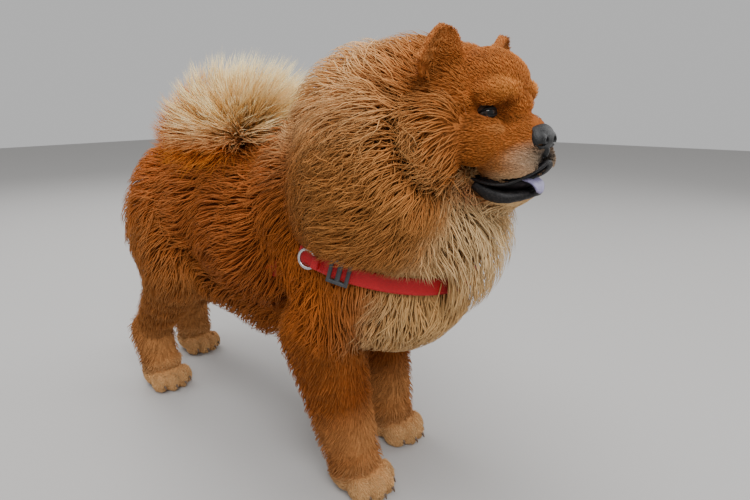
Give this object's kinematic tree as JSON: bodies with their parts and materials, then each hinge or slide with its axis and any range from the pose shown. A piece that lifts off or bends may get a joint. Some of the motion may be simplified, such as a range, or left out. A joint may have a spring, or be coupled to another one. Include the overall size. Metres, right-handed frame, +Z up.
{
  "type": "standing chow chow",
  "caption": "Life-size rough-coated chow chow standing square, tail curled over the back, mouth a little open, in a webbing harness.",
  "frame": {"origin": "on the floor, at the middle of the box round the dog", "axes": "+Y from the nose towards the tail, so the dog faces -Y; +X towards its left side; +Z up"},
  "size_m": [0.3645, 0.8883, 0.6417],
  "materials": {
    "coat_red": "long soft red-gold coat",
    "coat_paws": "short tan hair",
    "coat_cream": "long cream plume",
    "jaw": "short hair with black lips",
    "nose": "moist black skin",
    "tongue": "moist blue-grey skin",
    "eye": "wet dark brown",
    "webbing": "woven red webbing",
    "ring_metal": "plated wire",
    "slider_plastic": "dark grey moulded plastic"
  },
  "bodies": {
    "root": {"torso": "coat_red", "neck": "coat_red", "head": "coat_red", "ear_left": "coat_red", "ear_right": "coat_red", "lower_jaw": "jaw", "nose": "nose", "tongue": "tongue", "eye_left": "eye", "eye_right": "eye", "tail": "coat_cream", "fore_leg_left": "coat_red", "fore_leg_right": "coat_red", "hind_leg_left": "coat_red", "hind_leg_right": "coat_red", "fore_paw_left": "coat_paws", "fore_paw_right": "coat_paws", "hind_paw_left": "coat_paws", "hind_paw_right": "coat_paws", "girth_strap": "webbing", "chest_strap": "webbing", "ring_left": "ring_metal", "ring_right": "ring_metal", "lead_ring": "ring_metal", "slider": "slider_plastic"}
  },
  "joints": []
}
